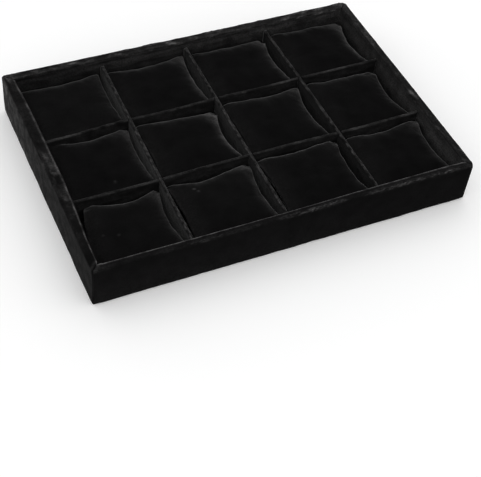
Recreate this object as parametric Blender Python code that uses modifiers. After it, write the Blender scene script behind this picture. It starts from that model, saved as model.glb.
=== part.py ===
"""A velvet-covered watch display tray with twelve places, each filled by a loose pillow.

Metres, +Z up. The origin lies on the underside, below the middle of the tray. X runs along
the length to the right, Y from the front to the rear.
"""
from math import cos, pi, sin

import bmesh
import bpy
from mathutils import Vector

# Overall size of the covered tray
LENGTH = 0.350
DEPTH = 0.244
HEIGHT = 0.042

# Gap between two pieces that rest on, or are glued to, each other
SEAT = 0.0003

# Wooden boards inside the cover
WALL_BOARD = 0.0036
BASE_BOARD = 0.0030
BOARD_CORNER = 0.0017      # radius of the upright outer corners
BOARD_EDGE = 0.0009        # radius of the rim's and the base's long edges

# Velvet cover
VELVET = 0.0010            # thickness, pile included
TURN_UNDER = 0.014         # width of velvet folded in under the base
INNER_CORNER = 0.0006      # radius of the velvet in the inside corners
CORNER_STEPS = 4
EDGE_STEPS = 3

# Sheets below and inside
UNDERSIDE_SHEET = 0.0008
UNDERSIDE_MARGIN = 0.004   # the sheet stops this far inside the tray's edge
FLOOR_LINING = 0.0015

# Dividers, velvet-covered card
COLUMNS = 4
ROWS = 3
DIVIDER = 0.0030
DIVIDER_DROP = 0.0080      # divider tops below the rim
DIVIDER_EDGE = 0.0011      # radius of the velvet over the top edge
SLOT_PLAY = 0.0003         # each side of a divider in the slot that crosses it

# Pillows
PILLOW_PLAY = 0.0006       # between a pillow's corners and the sides of its place
PILLOW_DROP = 0.0020       # top of a pillow below the dividers
PILLOW_WAIST = 0.0050      # how far each side pulls in between the corners
PILLOW_FULLNESS = 1.05     # above 1 the crown is flatter in the middle
SEAM_SHARE = 0.62          # height of the corners' seam, as a share of the pillow's height
SEAM_RISE = 0.0045         # the seam's middle above its corners
PILLOW_PANES = 5           # cage squares along a side

# Levels and insets that follow from the sizes above
SKIN = VELVET + SEAT
COVER_BOTTOM = UNDERSIDE_SHEET + SEAT
BASE_BOTTOM = COVER_BOTTOM + SKIN
BASE_TOP = BASE_BOTTOM + BASE_BOARD
INSIDE_BOTTOM = BASE_TOP + SEAT
WALL_TOP = HEIGHT - SKIN
FLOOR_TOP = INSIDE_BOTTOM + FLOOR_LINING
REST_LEVEL = FLOOR_TOP + SEAT
DIVIDER_TOP = HEIGHT - DIVIDER_DROP
LAP_LEVEL = (REST_LEVEL + DIVIDER_TOP) / 2
COVERED_WALL = WALL_BOARD + 2 * SKIN
COVER_EDGE = BOARD_EDGE + SKIN
COVER_CORNER = BOARD_CORNER + SKIN
INSIDE_X = LENGTH / 2 - COVERED_WALL
INSIDE_Y = DEPTH / 2 - COVERED_WALL
PLACE_X = (2 * INSIDE_X - (COLUMNS - 1) * DIVIDER) / COLUMNS
PLACE_Y = (2 * INSIDE_Y - (ROWS - 1) * DIVIDER) / ROWS

BLACK_VELVET = (0.010, 0.010, 0.011)
FIBREBOARD = (0.42, 0.30, 0.19)
BLACK_PAPER = (0.020, 0.020, 0.021)


def clear_scene():
    """Remove whatever the scene holds."""
    for item in list(bpy.data.objects):
        bpy.data.objects.remove(item, do_unlink=True)


def new_collection(name):
    """Make a collection in the scene."""
    collection = bpy.data.collections.new(name)
    bpy.context.scene.collection.children.link(collection)
    return collection


def new_material(name, colour, roughness):
    """Make a plain Principled material."""
    material = bpy.data.materials.new(name)
    material.use_nodes = True
    shader = material.node_tree.nodes["Principled BSDF"]
    shader.inputs["Base Color"].default_value = (*colour, 1.0)
    shader.inputs["Roughness"].default_value = roughness
    shader.inputs["Metallic"].default_value = 0.0
    return material


def add_object(name, mesh, collection, material=None, location=(0.0, 0.0, 0.0)):
    """Link a mesh as a named object."""
    item = bpy.data.objects.new(name, mesh)
    item.location = location
    collection.objects.link(item)
    if material and not mesh.materials:
        mesh.materials.append(material)
    return item


def mesh_from(form, name):
    """Turn a bmesh into a mesh, shaded smooth apart from its sharp edges."""
    bmesh.ops.recalc_face_normals(form, faces=form.faces)
    mesh = bpy.data.meshes.new(name)
    form.to_mesh(mesh)
    form.free()
    mesh.shade_smooth()
    mesh.set_sharp_from_angle(angle=pi / 4)
    return mesh


def box_form(size_x, size_y, size_z):
    """A box centred on the origin, as a bmesh."""
    form = bmesh.new()
    bmesh.ops.create_cube(form, size=1.0)
    bmesh.ops.scale(form, vec=Vector((size_x, size_y, size_z)), verts=form.verts)
    return form


def round_edges(form, radius, steps, wanted):
    """Round the edges for which wanted(edge's middle, edge's direction) holds."""
    chosen = []
    for edge in form.edges:
        first, second = (vert.co for vert in edge.verts)
        if wanted((first + second) / 2, (second - first).normalized()):
            chosen.append(edge)
    bmesh.ops.bevel(form, geom=chosen, offset=radius, segments=steps, profile=0.5,
                    affect="EDGES", clamp_overlap=True)


def plate_mesh(name, size_x, size_y, thickness, corner, top_edge=0.0, bottom_edge=0.0):
    """A flat plate with rounded corners, and rounded top or bottom edges where asked."""
    form = box_form(size_x, size_y, thickness)
    round_edges(form, corner, CORNER_STEPS, lambda middle, along: abs(along.z) > 0.9)
    if top_edge:
        round_edges(form, top_edge, EDGE_STEPS,
                    lambda middle, along: middle.z > 0.49 * thickness)
    if bottom_edge:
        round_edges(form, bottom_edge, EDGE_STEPS,
                    lambda middle, along: middle.z < -0.49 * thickness)
    return mesh_from(form, name)


def make_base(parts, wood, paper, velvet):
    """The base board, the sheet under it and the lining on the tray's floor."""
    base = plate_mesh("base_board", LENGTH - 2 * SKIN, DEPTH - 2 * SKIN, BASE_BOARD,
                      BOARD_CORNER, bottom_edge=BOARD_EDGE)
    add_object("base_board", base, parts, wood, (0, 0, (BASE_BOTTOM + BASE_TOP) / 2))
    sheet = plate_mesh("underside_sheet", LENGTH - 2 * UNDERSIDE_MARGIN,
                       DEPTH - 2 * UNDERSIDE_MARGIN, UNDERSIDE_SHEET, COVER_CORNER)
    add_object("underside_sheet", sheet, parts, paper, (0, 0, UNDERSIDE_SHEET / 2))
    lining = plate_mesh("floor_lining", 2 * (INSIDE_X - SEAT), 2 * (INSIDE_Y - SEAT),
                        FLOOR_LINING, INNER_CORNER, top_edge=FLOOR_LINING / 3)
    add_object("floor_lining", lining, parts, velvet, (0, 0, (INSIDE_BOTTOM + FLOOR_TOP) / 2))


def make_wall_boards(parts, wood):
    """Front and rear boards of the full length, with the side boards between them."""
    height = WALL_TOP - INSIDE_BOTTOM
    middle_z = (WALL_TOP + INSIDE_BOTTOM) / 2
    across = DEPTH / 2 - SKIN - WALL_BOARD / 2
    for name, side in (("front_board", -1), ("rear_board", 1)):
        form = box_form(LENGTH - 2 * SKIN, WALL_BOARD, height)
        round_edges(form, BOARD_CORNER, CORNER_STEPS,
                    lambda middle, along: abs(along.z) > 0.9 and middle.y * side > 0)
        round_edges(form, BOARD_EDGE, EDGE_STEPS,
                    lambda middle, along: middle.z > 0.49 * height)
        add_object(name, mesh_from(form, name), parts, wood, (0, side * across, middle_z))
    width = 2 * (across - WALL_BOARD / 2 - SEAT)
    for name, side in (("left_board", -1), ("right_board", 1)):
        form = box_form(WALL_BOARD, width, height)
        round_edges(form, BOARD_EDGE, EDGE_STEPS,
                    lambda middle, along: middle.z > 0.49 * height and abs(along.y) > 0.9)
        place = (side * (LENGTH / 2 - SKIN - WALL_BOARD / 2), 0, middle_z)
        add_object(name, mesh_from(form, name), parts, wood, place)


def cover_section():
    """The cover's outer line, as (inset from the tray's side, height, corner radius).

    It starts under the base, runs up the outside, over the rim and down the inside.
    """
    def corner_radius(inset):
        return max(COVER_CORNER - inset, INNER_CORNER)

    line = [(TURN_UNDER, COVER_BOTTOM)]
    rounds = (
        (COVER_EDGE, COVER_BOTTOM + COVER_EDGE, 1.5 * pi, 1.0 * pi),
        (COVER_EDGE, HEIGHT - COVER_EDGE, 1.0 * pi, 0.5 * pi),
        (COVERED_WALL - COVER_EDGE, HEIGHT - COVER_EDGE, 0.5 * pi, 0.0),
    )
    for centre_inset, centre_z, start, end in rounds:
        for step in range(EDGE_STEPS + 1):
            angle = start + (end - start) * step / EDGE_STEPS
            line.append((centre_inset + COVER_EDGE * cos(angle), centre_z + COVER_EDGE * sin(angle)))
    line.append((COVERED_WALL, INSIDE_BOTTOM))
    return [(inset, z, corner_radius(inset)) for inset, z in line]


def rounded_rectangle(half_x, half_y, radius, z):
    """Points round a rectangle with rounded corners, anticlockwise from above."""
    points = []
    for turn, (side_x, side_y) in enumerate(((1, 1), (-1, 1), (-1, -1), (1, -1))):
        for step in range(CORNER_STEPS + 1):
            angle = pi / 2 * (turn + step / CORNER_STEPS)
            points.append(Vector((side_x * (half_x - radius) + radius * cos(angle),
                                  side_y * (half_y - radius) + radius * sin(angle), z)))
    return points


def make_cover(parts, velvet):
    """The velvet as an open surface, lofted from ring to ring and thickened towards the boards."""
    form = bmesh.new()
    rings = []
    for inset, z, radius in cover_section():
        outline = rounded_rectangle(LENGTH / 2 - inset, DEPTH / 2 - inset, radius, z)
        rings.append([form.verts.new(point) for point in outline])
    for lower, upper in zip(rings, rings[1:]):
        for index in range(len(lower)):
            after = (index + 1) % len(lower)
            form.faces.new((lower[index], lower[after], upper[after], upper[index]))
    mesh = bpy.data.meshes.new("velvet_cover")
    form.to_mesh(mesh)
    form.free()
    mesh.shade_smooth()
    cover = add_object("velvet_cover", mesh, parts, velvet)
    thicken = cover.modifiers.new("Velvet", "SOLIDIFY")
    thicken.thickness = VELVET
    thicken.offset = -1.0
    thicken.use_even_offset = True


def divider_places(count, inside, pitch):
    """Middles of the dividers between count places of one row."""
    return [-inside + (index + 1) * pitch + (index + 0.5) * DIVIDER for index in range(count - 1)]


def make_dividers(parts, cutters, velvet):
    """Two sets of strips, half-lapped: cross dividers slot from below, long ones from above."""
    height = DIVIDER_TOP - REST_LEVEL
    middle_z = (DIVIDER_TOP + REST_LEVEL) / 2
    columns = divider_places(COLUMNS, INSIDE_X, PLACE_X)
    rows = divider_places(ROWS, INSIDE_Y, PLACE_Y)
    slot = DIVIDER + 2 * SLOT_PLAY

    def top_edges(middle, along):
        return middle.z > 0.49 * height and abs(along.z) < 0.1

    def slot_cutter(name, size_x, size_y, x, y, upward):
        side = 1 if upward else -1
        form = box_form(size_x, size_y, height)
        z = LAP_LEVEL + side * (height - SLOT_PLAY) / 2
        cutter = add_object(name, mesh_from(form, name), cutters, location=(x, y, z))
        cutter.display_type = "WIRE"
        cutter.hide_render = True
        return cutter

    def add_divider(name, size_x, size_y, location, slots):
        form = box_form(size_x, size_y, height)
        round_edges(form, DIVIDER_EDGE, EDGE_STEPS, top_edges)
        divider = add_object(name, mesh_from(form, name), parts, velvet, location)
        for cutter in slots:
            cut = divider.modifiers.new(cutter.name, "BOOLEAN")
            cut.operation = "DIFFERENCE"
            cut.object = cutter

    from_below = [slot_cutter(f"row_slot_{number}", LENGTH, slot, 0, y, False)
                  for number, y in enumerate(rows, 1)]
    from_above = [slot_cutter(f"column_slot_{number}", slot, DEPTH, x, 0, True)
                  for number, x in enumerate(columns, 1)]
    for number, x in enumerate(columns, 1):
        add_divider(f"cross_divider_{number}", DIVIDER, 2 * (INSIDE_Y - SEAT),
                    (x, 0, middle_z), from_below)
    for number, y in enumerate(rows, 1):
        add_divider(f"long_divider_{number}", 2 * (INSIDE_X - SEAT), DIVIDER,
                    (0, -y, middle_z), from_above)


def pillow_mesh(velvet):
    """Two square panels sewn together round the edge, crowned above and flat below.

    The coarse cage of a pillow that stands on z = 0. In it u and v run from -1 to 1 across the
    pillow. The sewn edge stays crisp when the cage is smoothed, and so do its four corners.
    """
    half_x = PLACE_X / 2 - PILLOW_PLAY
    half_y = PLACE_Y / 2 - PILLOW_PLAY
    height = DIVIDER_TOP - PILLOW_DROP - REST_LEVEL

    form = bmesh.new()
    edge_crease = form.edges.layers.float.new("crease_edge")
    corner_crease = form.verts.layers.float.new("crease_vert")
    bmesh.ops.create_grid(form, x_segments=PILLOW_PANES, y_segments=PILLOW_PANES, size=1.0)
    for edge in form.edges:
        edge[edge_crease] = float(edge.is_boundary)
    for vert in form.verts:
        vert[corner_crease] = float(len(vert.link_edges) == 2)
    top_verts = set(form.verts)
    bmesh.ops.duplicate(form, geom=form.verts[:] + form.edges[:] + form.faces[:])

    for vert in form.verts:
        u, v = vert.co.x, vert.co.y
        vert.co.x = half_x * u - PILLOW_WAIST * u * (1 - v * v)
        vert.co.y = half_y * v - PILLOW_WAIST * v * (1 - u * u)
        vert.co.z = SEAM_SHARE * height + SEAM_RISE * (1 - (u * v) ** 4)
        if vert.is_boundary:
            continue
        if vert in top_verts:
            fullness = min(1.0, PILLOW_FULLNESS * (1 - u ** 4) * (1 - v ** 4))
            vert.co.z += (height - vert.co.z) * fullness
        else:
            vert.co.z = 0.0
    bmesh.ops.remove_doubles(form, verts=form.verts, dist=1e-6)
    bmesh.ops.recalc_face_normals(form, faces=form.faces)
    mesh = bpy.data.meshes.new("pillow")
    form.to_mesh(mesh)
    form.free()
    mesh.shade_smooth()
    mesh.materials.append(velvet)
    return mesh


def make_pillows(parts, velvet):
    """One loose pillow in each place, rows counted from the rear and columns from the left."""
    mesh = pillow_mesh(velvet)
    for row in range(ROWS):
        y = INSIDE_Y - PLACE_Y / 2 - row * (PLACE_Y + DIVIDER)
        for column in range(COLUMNS):
            x = -INSIDE_X + PLACE_X / 2 + column * (PLACE_X + DIVIDER)
            name = f"pillow_{row + 1}_{column + 1}"
            pillow = add_object(name, mesh, parts, location=(x, y, REST_LEVEL))
            smooth = pillow.modifiers.new("Stuffing", "SUBSURF")
            smooth.levels = 1
            smooth.render_levels = 1
            smooth.use_limit_surface = False


def main():
    clear_scene()
    parts = new_collection("Watch display tray")
    cutters = new_collection("Cutters")
    wood = new_material("fibreboard", FIBREBOARD, 0.8)
    velvet = new_material("black velvet", BLACK_VELVET, 0.95)
    paper = new_material("black paper", BLACK_PAPER, 0.85)
    make_base(parts, wood, paper, velvet)
    make_wall_boards(parts, wood)
    make_cover(parts, velvet)
    make_dividers(parts, cutters, velvet)
    make_pillows(parts, velvet)


main()
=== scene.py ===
"""Velvet, pillows, light and camera of a twelve-place watch display tray.

Metres, +Z up, in the frame of the tray's solids: the origin lies on the underside, X runs
along the length to the right and Y from the front to the rear.
"""
from collections import namedtuple
from itertools import product
from math import cos, pi, radians, sin

import bpy
import numpy as np
from bpy.props import FloatProperty, FloatVectorProperty, IntProperty, PointerProperty
from mathutils import Matrix, Vector, noise


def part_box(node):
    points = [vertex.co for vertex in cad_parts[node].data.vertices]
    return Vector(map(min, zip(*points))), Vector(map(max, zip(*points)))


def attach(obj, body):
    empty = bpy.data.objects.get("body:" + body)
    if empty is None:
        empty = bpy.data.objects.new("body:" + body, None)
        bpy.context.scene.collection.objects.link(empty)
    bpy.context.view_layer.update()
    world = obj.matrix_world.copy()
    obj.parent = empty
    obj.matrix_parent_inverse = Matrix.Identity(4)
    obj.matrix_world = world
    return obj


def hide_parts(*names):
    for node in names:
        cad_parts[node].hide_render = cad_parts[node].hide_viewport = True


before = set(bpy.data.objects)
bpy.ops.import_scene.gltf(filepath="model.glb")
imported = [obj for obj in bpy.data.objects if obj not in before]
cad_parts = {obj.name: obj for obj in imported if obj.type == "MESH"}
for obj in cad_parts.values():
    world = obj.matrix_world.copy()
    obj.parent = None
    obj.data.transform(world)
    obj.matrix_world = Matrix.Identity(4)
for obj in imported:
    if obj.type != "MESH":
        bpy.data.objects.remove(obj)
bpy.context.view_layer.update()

bl_info = {
    "name": "Watch display tray",
    "version": (1, 0, 0),
    "blender": (4, 5, 0),
    "location": "3D View > Sidebar > Display tray",
    "description": "Builds the velvet, the pillows and the studio of a watch display tray",
    "category": "Add Mesh",
}

MM = 0.001
SEAT = 0.3 * MM            # gap between two pieces that touch

COVER_LOW, COVER_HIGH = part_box("velvet_cover")
LINING_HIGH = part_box("floor_lining")[1]
REST_LEVEL = LINING_HIGH.z + SEAT             # the pillows lie on it
DIVIDER_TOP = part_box("long_divider_1")[1].z
CROSS_DIVIDERS = ("cross_divider_1", "cross_divider_2", "cross_divider_3")
LONG_DIVIDERS = ("long_divider_1", "long_divider_2")


def a_length(name, description, default, low, high):
    """A property for a length in metres."""
    return FloatProperty(name=name, description=description, default=default, min=low, max=high,
                         subtype="DISTANCE", unit="LENGTH")


def a_share(name, description, default, high=1.0):
    """A property for a share from 0 to high."""
    return FloatProperty(name=name, description=description, default=default, min=0.0, max=high,
                         subtype="FACTOR")


def an_angle(name, description, degrees):
    """A property for an angle, its default given in degrees."""
    return FloatProperty(name=name, description=description, default=radians(degrees),
                         subtype="ANGLE", unit="ROTATION")


def a_colour(name, description, default):
    """A property for a colour."""
    return FloatVectorProperty(name=name, description=description, default=default, size=3,
                               min=0.0, max=1.0, subtype="COLOR")


class TrayVelvet(bpy.types.PropertyGroup):
    """Colour and pile of the black velvet."""
    colour: a_colour("Velvet", "Colour deep in the pile", (0.0043, 0.0042, 0.0043))
    # Also the colour towards which painted light and painted highlights lift the pile.
    crushed_and_lit: a_colour("Crushed pile", "Colour where the pile is pressed flat on a ridge",
                      (0.100, 0.098, 0.098))
    sheen: a_share("Sheen", "Light that the standing pile scatters at its edges", 0.35)
    sheen_spread: a_share("Sheen spread", "How far the sheen reaches in from the edges", 0.30)
    nap_size: a_length("Nap size", "Width of a patch in which the pile lies one way",
                       0.014, 0.001, 0.1)
    fibre_size: a_length("Fibre size", "Width of a tuft of pile", 0.0005, 0.0001, 0.01)
    speck_size: a_length("Speck size", "Width of the specks into which crushed pile breaks up",
                         0.0013, 0.0003, 0.01)


class TrayCover(bpy.types.PropertyGroup):
    """The velvet glued over the walls."""
    velvet: a_length("Velvet thickness", "Thickness of the velvet with its pile",
                     0.0010, 0.0003, 0.003)
    rim_radius: a_length("Rim radius", "Radius of the velvet over the rim's two edges",
                         0.0014, 0.0005, 0.0022)
    foot_radius: a_length("Foot radius", "Radius of the velvet round the foot of the walls",
                          0.0005, 0.0003, 0.003)
    corner_radius: a_length("Corner radius", "Radius of the four upright outer corners",
                            0.0010, 0.0006, 0.01)
    column_width: a_length("Mesh width", "Width of a face of the mesh round the tray",
                           0.0013, 0.001, 0.01)
    wave_height: a_length("Wave height", "Height of the broad waves in the glued velvet",
                          0.00035, 0.0, 0.002)
    crinkle_height: a_length("Crinkle height", "Height of the small creases along the rim",
                             0.00045, 0.0, 0.002)
    mitre_depth: a_length("Mitre depth", "Depth of the tucked fold across each rim corner",
                          0.0006, 0.0, 0.003)


class TrayDividers(bpy.types.PropertyGroup):
    """The half-lapped strips between the places."""
    thickness: a_length("Thickness", "Thickness of card and velvet together",
                        0.0030, 0.001, 0.006)
    step: a_length("Mesh width", "Length of a face of the mesh along a divider",
                   0.0015, 0.0005, 0.01)
    wrinkle_height: a_length("Wrinkle height", "Height of the fine wrinkles in the velvet",
                             0.00018, 0.0, 0.001)
    flare: a_length("Flare", "How far the velvet spreads where a strip meets a wall",
                    0.0004, 0.0, 0.003)


class TrayPillows(bpy.types.PropertyGroup):
    """The twelve sewn and stuffed pillows."""
    panes: IntProperty(
        name="Panes", description="Squares of cloth along a side of a panel",
        min=8, max=80, default=36)
    pressure: FloatProperty(
        name="Pressure", description="Push of the stuffing against the cloth",
        min=0.0, max=20.0, default=4.0)
    frames: IntProperty(
        name="Frames", description="Frames for which the cloth is simulated",
        min=2, max=60, default=24)
    spare_cloth: a_share("Spare cloth", "Share by which the panels are cut too large", 0.012, 0.2)
    firmness: FloatProperty(
        name="Firmness", description="Higher makes the tops flatter and their edges rounder",
        min=0.1, max=5.0, default=1.7)
    seam_ridge: a_length("Seam ridge", "How far the sewn edge stands out all round",
                         0.0004, 0.0, 0.003)
    crown: a_length("Crown", "Top of the pillows above the dividers", -0.0022, -0.010, 0.01)


class TrayStudio(bpy.types.PropertyGroup):
    """The floor, the light and the camera."""
    floor: a_colour("Floor", "Colour of the floor", (0.88, 0.88, 0.88))
    light: FloatProperty(
        name="Room light", description="Strength of the even white light from all sides",
        min=0.0, max=5.0, default=0.95)
    azimuth: an_angle("Azimuth", "Turn of the camera round the tray", -29.324)
    elevation: an_angle("Elevation", "Tilt of the camera above the horizon", 48.161)
    roll: an_angle("Roll", "Turn of the camera about its own line of sight", 6.876)
    camera_place: FloatVectorProperty(
        name="Camera place", description="Where the camera stands", subtype="TRANSLATION",
        unit="LENGTH", size=3, default=(-0.3482, -0.6565, 0.7159))
    lens: FloatProperty(
        name="Lens", description="Focal length for a sensor 36 mm wide", unit="CAMERA",
        min=10.0, max=300.0, default=84.236)


def smooth_step(low, high, value):
    """0 below low, 1 above high, with an even slope between."""
    share = np.clip((np.asarray(value, float) - low) / (high - low), 0.0, 1.0)
    return share * share * (3.0 - 2.0 * share)


def bell(away, width, power=2):
    """1 where away is 0, falling off over the width; a higher power has steeper sides."""
    return np.exp(-(away / width) ** power)


def soft_curve(points, at, spread, steps=201, **padding):
    """Read (place, amount) points at places from -1 to 1, their kinks rounded over the spread."""
    places, amounts = np.array(points).T
    dense = np.linspace(-1.0, 1.0, steps)
    line = np.pad(np.interp(dense, places, amounts), spread, **(padding or {"mode": "edge"}))
    window = np.hanning(2 * spread + 1)
    return np.interp(at, dense, np.convolve(line, window / window.sum(), mode="valid"))


def noise_at(points, seed):
    """Soft noise from -1 to 1 at each point of an array of points."""
    shift = Vector((17.3 * seed, -9.1 * seed, 5.7 * seed))
    flat = np.asarray(points, float).reshape(-1, 3)
    values = [noise.noise(Vector(point) + shift) for point in flat.tolist()]
    return np.array(values).reshape(np.shape(points)[:-1])


def ridges_at(points, seed):
    """Sharp ridges on soft ground, from 0 to about 1, at each point of an array."""
    return np.clip(1.0 - np.abs(noise_at(points, seed)) * 2.6, 0.0, 1.0) ** 2


def stacked(*channels):
    """An array of points from arrays of their coordinates."""
    return np.stack(np.broadcast_arrays(*channels), axis=-1)


def add_piece(name, mesh, material, replaced):
    """Link a mesh as a piece of the tray, with its finish, on the root body, and hide the solid it
    replaces.
    """
    piece = bpy.data.objects.new(name, mesh)
    bpy.context.scene.collection.objects.link(piece)
    mesh.materials.append(material)
    mesh.shade_smooth()
    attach(piece, "root")
    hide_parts(replaced)
    return piece


def mesh_of(name, verts, faces):
    """A mesh from an array of corners and a list of faces."""
    mesh = bpy.data.meshes.new(name)
    mesh.from_pydata(np.asarray(verts, float).reshape(-1, 3).tolist(), [], faces)
    mesh.update()
    return mesh


def write_mask(mesh, name, values, domain="POINT"):
    """Store one number from 0 to 1 for each corner or edge of a mesh."""
    mask = mesh.attributes.new(name, "FLOAT", domain)
    mask.data.foreach_set("value", np.asarray(values, np.float32).ravel())


def tube_faces(rows, columns, closed):
    """Faces of a tube whose columns close on themselves, and whose rows do so if closed."""
    here = np.arange(rows * columns).reshape(rows, columns)
    above = np.roll(here, -1, axis=0)
    if not closed:
        here, above = here[:-1], above[:-1]
    quads = stacked(here, np.roll(here, -1, axis=1), np.roll(above, -1, axis=1), above)
    return quads.reshape(-1, 4).tolist()


# Shader node groups

def group_tree(name, inputs):
    """An empty shader node group that puts out a colour, a roughness and a height."""
    tree = bpy.data.node_groups.new(name, "ShaderNodeTree")
    for label, value in inputs.items():
        kind = "NodeSocketColor" if isinstance(value, tuple) else "NodeSocketFloat"
        socket = tree.interface.new_socket(name=label, in_out="INPUT", socket_type=kind)
        socket.default_value = value
    for label, kind in (("Colour", "NodeSocketColor"), ("Roughness", "NodeSocketFloat"),
                        ("Height", "NodeSocketFloat")):
        tree.interface.new_socket(name=label, in_out="OUTPUT", socket_type=kind)
    return tree, tree.nodes.new("NodeGroupInput").outputs, tree.nodes.new("NodeGroupOutput")


def add_node(tree, kind, values=(), links=(), **settings):
    """Add a node, set its sockets by index or name, and link others into it."""
    node = tree.nodes.new(kind)
    for key, value in settings.items():
        setattr(node, key, value)
    for socket, value in dict(values).items():
        node.inputs[socket].default_value = value
    for socket, source in dict(links).items():
        tree.links.new(source, node.inputs[socket])
    return node


def feed(tree, socket, value):
    """Give a socket a number, a colour or another node's output."""
    if isinstance(value, (int, float)):
        socket.default_value = value
    elif isinstance(value, tuple):
        socket.default_value = (*value[:3], 1.0)
    else:
        tree.links.new(value, socket)


def add_math(tree, operation, first, second):
    """A maths node of two values, each a number or another node's output."""
    node = add_node(tree, "ShaderNodeMath", operation=operation)
    for socket, value in zip(node.inputs, (first, second)):
        feed(tree, socket, value)
    return node.outputs[0]


def add_mix(tree, factor, first, second):
    """A colour mix, each colour given as a colour or another node's output."""
    node = add_node(tree, "ShaderNodeMix", data_type="RGBA")
    for socket, value in ((0, factor), (6, first), (7, second)):
        feed(tree, node.inputs[socket], value)
    return node.outputs[2]


def add_noise(tree, place, scale, detail, roughness, distortion=0.0):
    """Noise in the object's own space, its scale given as a number or an output."""
    node = add_node(tree, "ShaderNodeTexNoise",
                    {"Detail": detail, "Roughness": roughness, "Distortion": distortion},
                    {"Vector": place.outputs["Object"]})
    feed(tree, node.inputs["Scale"], scale)
    return node.outputs[0]


def pile_group():
    """Velvet pile: patches of nap, single tufts, and the lift of pressed pile and painted light."""
    name = "Velvet pile"
    if name in bpy.data.node_groups:
        return bpy.data.node_groups[name]
    # The Crush input lifts the pile towards the Crushed Colour: pressed pile, and painted light and
    # painted highlights from the masks.
    tree, given, result = group_tree(name, {
        "Colour": (0.01, 0.01, 0.01, 1.0), "Crushed Colour": (0.06, 0.06, 0.06, 1.0),
        "Crush": 0.0, "Nap Scale": 70.0, "Nap Contrast": 0.5, "Fibre Scale": 2000.0,
        "Speck Scale": 770.0})
    place = tree.nodes.new("ShaderNodeTexCoord")
    nap = add_noise(tree, place, given["Nap Scale"], 3.0, 0.55)
    tufts = add_noise(tree, place, given["Fibre Scale"], 2.0, 0.7)
    swing = add_math(tree, "SUBTRACT", nap, 0.5)
    swing = add_math(tree, "MULTIPLY", swing, given["Nap Contrast"])
    grain = add_math(tree, "SUBTRACT", tufts, 0.5)
    grain = add_math(tree, "MULTIPLY", grain, 0.8)
    level = add_math(tree, "ADD", add_math(tree, "ADD", 1.0, swing), grain)
    shade = add_node(tree, "ShaderNodeVectorMath", (), {0: given["Colour"], "Scale": level},
                     operation="SCALE")
    specks = add_noise(tree, place, given["Speck Scale"], 1.0, 0.5)
    broken = add_node(tree, "ShaderNodeMapRange",
                      {"From Min": 0.36, "From Max": 0.64, "To Min": 0.62, "To Max": 1.38},
                      {"Value": specks})
    crush_and_painted_light = add_math(tree, "MULTIPLY", given["Crush"], broken.outputs[0])
    colour = add_mix(tree, crush_and_painted_light, shade.outputs[0], given["Crushed Colour"])
    rough = add_math(tree, "SUBTRACT", 1.0, add_math(tree, "MULTIPLY", crush_and_painted_light, 0.25))
    height = add_math(tree, "ADD", add_math(tree, "MULTIPLY", nap, 0.4), tufts)
    for socket, value in zip(result.inputs, (colour, rough, height)):
        tree.links.new(value, socket)
    return tree


def fibre_group():
    """Short pressed fibres, as in fibreboard and paper."""
    name = "Pressed fibres"
    if name in bpy.data.node_groups:
        return bpy.data.node_groups[name]
    tree, given, result = group_tree(name, {
        "Colour": (0.4, 0.3, 0.2, 1.0), "Fleck Colour": (0.2, 0.15, 0.1, 1.0),
        "Fibre Scale": 900.0, "Fleck Amount": 0.5})
    place = tree.nodes.new("ShaderNodeTexCoord")
    fibres = add_noise(tree, place, given["Fibre Scale"], 4.0, 0.6, 1.5)
    clouds = add_noise(tree, place, 45.0, 2.0, 0.5)
    fleck = add_node(tree, "ShaderNodeMapRange", {"From Min": 0.52, "From Max": 0.72},
                     {"Value": fibres})
    amount = add_math(tree, "MULTIPLY", fleck.outputs[0], given["Fleck Amount"])
    flecked = add_mix(tree, amount, given["Colour"], given["Fleck Colour"])
    cloudy = add_mix(tree, add_math(tree, "MULTIPLY", clouds, 0.25), flecked,
                     given["Fleck Colour"])
    rough = add_math(tree, "ADD", 0.75, add_math(tree, "MULTIPLY", fibres, 0.2))
    for socket, value in zip(result.inputs, (cloudy, rough, fibres)):
        tree.links.new(value, socket)
    return tree


def new_material(name, group, values, bump_depth):
    """A material whose Principled shader takes colour, roughness and bump from a group."""
    material = bpy.data.materials.new(name)
    material.use_nodes = True
    tree = material.node_tree
    shader = tree.nodes["Principled BSDF"]
    effect = add_node(tree, "ShaderNodeGroup", node_tree=group)
    for socket, value in values.items():
        effect.inputs[socket].default_value = value
    bump = add_node(tree, "ShaderNodeBump", {"Strength": 1.0, "Distance": bump_depth},
                    {"Height": effect.outputs["Height"]})
    tree.links.new(effect.outputs["Colour"], shader.inputs["Base Color"])
    tree.links.new(effect.outputs["Roughness"], shader.inputs["Roughness"])
    tree.links.new(bump.outputs[0], shader.inputs["Normal"])
    return material, shader, effect


def velvet_material(name, sheen_gain, crush_and_painted_light=None):
    """Black velvet lifted evenly by the given amount, or else by its mesh's mask of pressed pile and
    painted light.
    """
    look = bpy.context.scene.tray_velvet
    material, shader, effect = new_material(
        name, pile_group(),
        {"Colour": (*look.colour, 1.0), "Crushed Colour": (*look.crushed_and_lit, 1.0),
         "Crush": crush_and_painted_light or 0.0, "Nap Scale": 1.0 / look.nap_size, "Nap Contrast": 0.9,
         "Fibre Scale": 1.0 / look.fibre_size, "Speck Scale": 1.0 / look.speck_size},
        0.12 * MM)
    shader.inputs["Specular IOR Level"].default_value = 0.0
    shader.inputs["Sheen Weight"].default_value = look.sheen * sheen_gain
    shader.inputs["Sheen Roughness"].default_value = look.sheen_spread
    # The mesh's mask brings in painted light, painted shade and painted highlights along with the
    # pressed pile.
    if crush_and_painted_light is None:
        tree = material.node_tree
        mask = add_node(tree, "ShaderNodeAttribute", attribute_name="crush_and_painted_light")
        tree.links.new(mask.outputs["Fac"], effect.inputs["Crush"])
    return material


# The cover

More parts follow.
